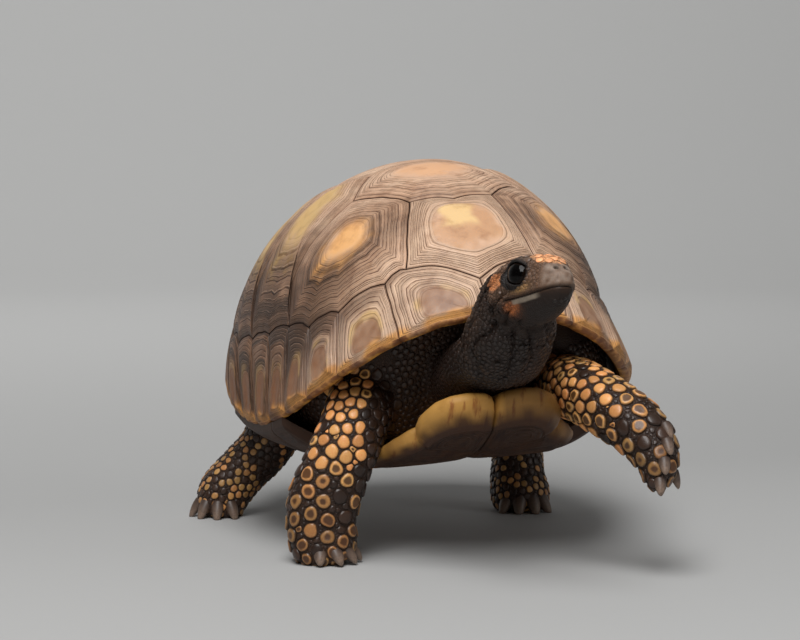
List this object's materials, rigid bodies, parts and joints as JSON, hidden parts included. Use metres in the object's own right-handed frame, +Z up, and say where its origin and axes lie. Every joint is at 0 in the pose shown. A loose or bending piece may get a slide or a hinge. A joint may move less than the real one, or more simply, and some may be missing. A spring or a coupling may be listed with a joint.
{
  "type": "tortoise",
  "caption": "Life-size tortoise in mid-step: high domed shell of ringed plates, scaled legs, one forefoot raised.",
  "frame": {"origin": "on the floor, under the centre of the whole animal's box", "axes": "+Z up; the animal faces -Y and its left side is +X"},
  "size_m": [0.2739, 0.4268, 0.2404],
  "materials": {
    "shell_horn": "weathered horn with growth rings, satin",
    "plastron_horn": "yellow horn, worn satin",
    "skin": "wrinkled dry skin with horny scales",
    "claw_horn": "grey-brown horn, satin",
    "eye": "wet gloss"
  },
  "bodies": {
    "root": {"vertebral_1": "shell_horn", "vertebral_2": "shell_horn", "vertebral_3": "shell_horn", "vertebral_4": "shell_horn", "vertebral_5": "shell_horn", "costal_left_1": "shell_horn", "costal_left_2": "shell_horn", "costal_left_3": "shell_horn", "costal_left_4": "shell_horn", "marginals_front_left": "shell_horn", "marginals_bridge_left": "shell_horn", "marginals_rear_left": "shell_horn", "costal_right_1": "shell_horn", "costal_right_2": "shell_horn", "costal_right_3": "shell_horn", "costal_right_4": "shell_horn", "marginals_front_right": "shell_horn", "marginals_bridge_right": "shell_horn", "marginals_rear_right": "shell_horn", "supracaudal": "shell_horn", "plastron": "plastron_horn", "trunk": "skin", "neck": "skin", "head": "skin", "lower_jaw": "skin", "eye_left": "eye", "eye_right": "eye", "foreleg_left": "skin", "forefoot_left": "skin", "hindleg_left": "skin", "hindfoot_left": "skin", "forefoot_left_claw_1": "claw_horn", "forefoot_left_claw_2": "claw_horn", "forefoot_left_claw_3": "claw_horn", "forefoot_left_claw_4": "claw_horn", "forefoot_left_claw_5": "claw_horn", "hindfoot_left_claw_1": "claw_horn", "hindfoot_left_claw_2": "claw_horn", "hindfoot_left_claw_3": "claw_horn", "hindfoot_left_claw_4": "claw_horn", "foreleg_right": "skin", "forefoot_right": "skin", "hindleg_right": "skin", "hindfoot_right": "skin", "forefoot_right_claw_1": "claw_horn", "forefoot_right_claw_2": "claw_horn", "forefoot_right_claw_3": "claw_horn", "forefoot_right_claw_4": "claw_horn", "forefoot_right_claw_5": "claw_horn", "hindfoot_right_claw_1": "claw_horn", "hindfoot_right_claw_2": "claw_horn", "hindfoot_right_claw_3": "claw_horn", "hindfoot_right_claw_4": "claw_horn", "tail": "skin"}
  },
  "joints": []
}
